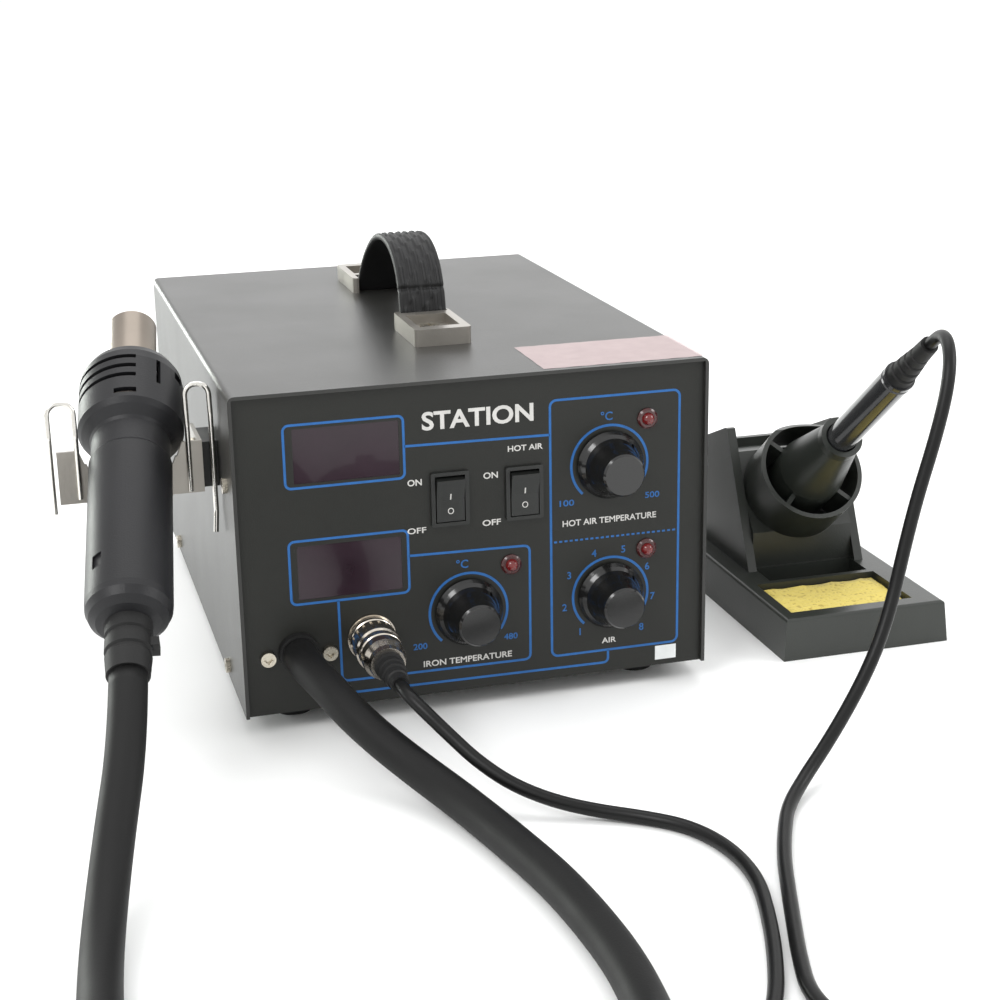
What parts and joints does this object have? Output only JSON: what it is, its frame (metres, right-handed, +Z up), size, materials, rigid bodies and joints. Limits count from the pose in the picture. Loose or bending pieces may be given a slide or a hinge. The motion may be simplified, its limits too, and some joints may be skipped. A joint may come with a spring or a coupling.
{
  "type": "hot air rework station",
  "caption": "Benchtop hot air rework station with side-held hot air gun, front knobs and rocker switches, carry handle, and a soldering iron in a separate stand with sponge.",
  "frame": {"origin": "bottom centre of the box around the station, the gun, the iron and the stand, on the bench", "axes": "+X to the right along the station's front, +Y from the front to the back, +Z up"},
  "size_m": [0.3868, 0.6343, 0.1702],
  "materials": {
    "case_paint": "black fine textured powder coat",
    "panel_paint": "black matte powder coat",
    "foot_rubber": "matte",
    "screw_zinc": "bright nickel plate",
    "display_window": "dark red tinted clear plastic",
    "dark_plastic": "matte black",
    "circuit_board": "green solder mask",
    "led_red": "red diffused lens, unlit",
    "switch_plastic": "satin black",
    "knob_plastic": "gloss black",
    "steel": "turned",
    "nickel": "bright nickel plate",
    "boot_rubber": "matte",
    "hose_rubber": "matte silicone",
    "cable_rubber": "satin silicone",
    "core_steel": "laminated steel, varnished",
    "winding_tape": "yellow tape",
    "zinc": "satin zinc plate",
    "strap_rubber": "ribbed, satin",
    "wire_nickel": "nickel plated wire",
    "gun_plastic": "fine matte dark grey",
    "barrel_steel": "heat tinted stainless steel",
    "ceramic": "fired ceramic",
    "stand_plastic": "satin dark grey green",
    "sponge_foam": "cellulose sponge, yellow",
    "iron_plastic": "gloss dark grey"
  },
  "bodies": {
    "station": {"air_pump": "dark_plastic", "cable_coil": "cable_rubber", "cable_run_iron": "cable_rubber", "cable_run_plug": "cable_rubber", "case_screws": "screw_zinc", "chassis": "case_paint", "control_board": "circuit_board", "din_plug": "nickel", "din_socket": "nickel", "display_modules": "dark_plastic", "display_windows": "display_window", "feet": "foot_rubber", "front_panel": "panel_paint", "handle_caps": "zinc", "handle_strap": "strap_rubber", "holder_bracket": "zinc", "holder_clip_left": "wire_nickel", "holder_clip_right": "wire_nickel", "holder_spacer": "dark_plastic", "hose_coil": "hose_rubber", "hose_gland": "dark_plastic", "hose_run_gun": "hose_rubber", "hose_run_panel": "hose_rubber", "indicator_leds": "led_red", "inner_air_tube": "hose_rubber", "led_bezels": "dark_plastic", "main_board": "circuit_board", "mains_inlet": "dark_plastic", "plug_boot": "boot_rubber", "potentiometers": "steel", "pump_mounts": "foot_rubber", "stand_cup": "stand_plastic", "stand_tower": "stand_plastic", "stand_tray": "stand_plastic", "switch_housing_left": "switch_plastic", "switch_housing_right": "switch_plastic", "top_cover": "case_paint", "transformer_core": "core_steel", "transformer_winding": "winding_tape"},
    "switch_left": {"switch_rocker_left": "switch_plastic"},
    "switch_right": {"switch_rocker_right": "switch_plastic"},
    "air_temp_knob": {"knob_air_temp": "knob_plastic", "shaft_air_temp": "steel"},
    "airflow_knob": {"knob_airflow": "knob_plastic", "shaft_airflow": "steel"},
    "iron_temp_knob": {"knob_iron_temp": "knob_plastic", "shaft_iron_temp": "steel"},
    "plug_ring": {"din_coupling_ring": "nickel"},
    "gun": {"gun_shell_left": "gun_plastic", "gun_shell_right": "gun_plastic", "gun_head": "gun_plastic", "gun_nozzle": "barrel_steel", "gun_heater_core": "ceramic", "gun_hose_boot": "boot_rubber"},
    "iron": {"iron_handle": "iron_plastic", "iron_cable_boot": "boot_rubber", "iron_barrel": "steel", "iron_tip": "steel", "cable_hang": "cable_rubber"},
    "sponge_pad": {"sponge": "sponge_foam"}
  },
  "joints": [
    {"name": "left_switch_rock", "type": "hinge", "parent": "station", "child": "switch_left", "pos_m": [-0.0365, -0.0915, 0.0878], "axis": [1, 0, 0], "range_deg": [-14, 0]},
    {"name": "right_switch_rock", "type": "hinge", "parent": "station", "child": "switch_right", "pos_m": [-0.0068, -0.0915, 0.0873], "axis": [1, 0, 0], "range_deg": [-14, 0]},
    {"name": "air_temp_turn", "type": "hinge", "parent": "station", "child": "air_temp_knob", "pos_m": [0.0282, -0.0925, 0.0952], "axis": [0, -1, 0], "range_deg": [-150, 150]},
    {"name": "airflow_turn", "type": "hinge", "parent": "station", "child": "airflow_knob", "pos_m": [0.0286, -0.0925, 0.041], "axis": [0, -1, 0], "range_deg": [-150, 150]},
    {"name": "iron_temp_turn", "type": "hinge", "parent": "station", "child": "iron_temp_knob", "pos_m": [-0.03, -0.0925, 0.041], "axis": [0, -1, 0], "range_deg": [-150, 150]},
    {"name": "plug_ring_turn", "type": "hinge", "parent": "station", "child": "plug_ring", "pos_m": [-0.0692, -0.1015, 0.0352], "axis": [0, -1, 0], "range_deg": [0, 350]},
    {"name": "gun_lift", "type": "slide", "parent": "station", "child": "gun", "axis": [0, 0, 1], "range_m": [0, 0.05]},
    {"name": "iron_draw", "type": "slide", "parent": "station", "child": "iron", "axis": [0, -0.788, 0.6157], "range_m": [0, 0.07]},
    {"name": "sponge_lift", "type": "slide", "parent": "station", "child": "sponge_pad", "axis": [0, 0, 1], "range_m": [0, 0.02]}
  ]
}
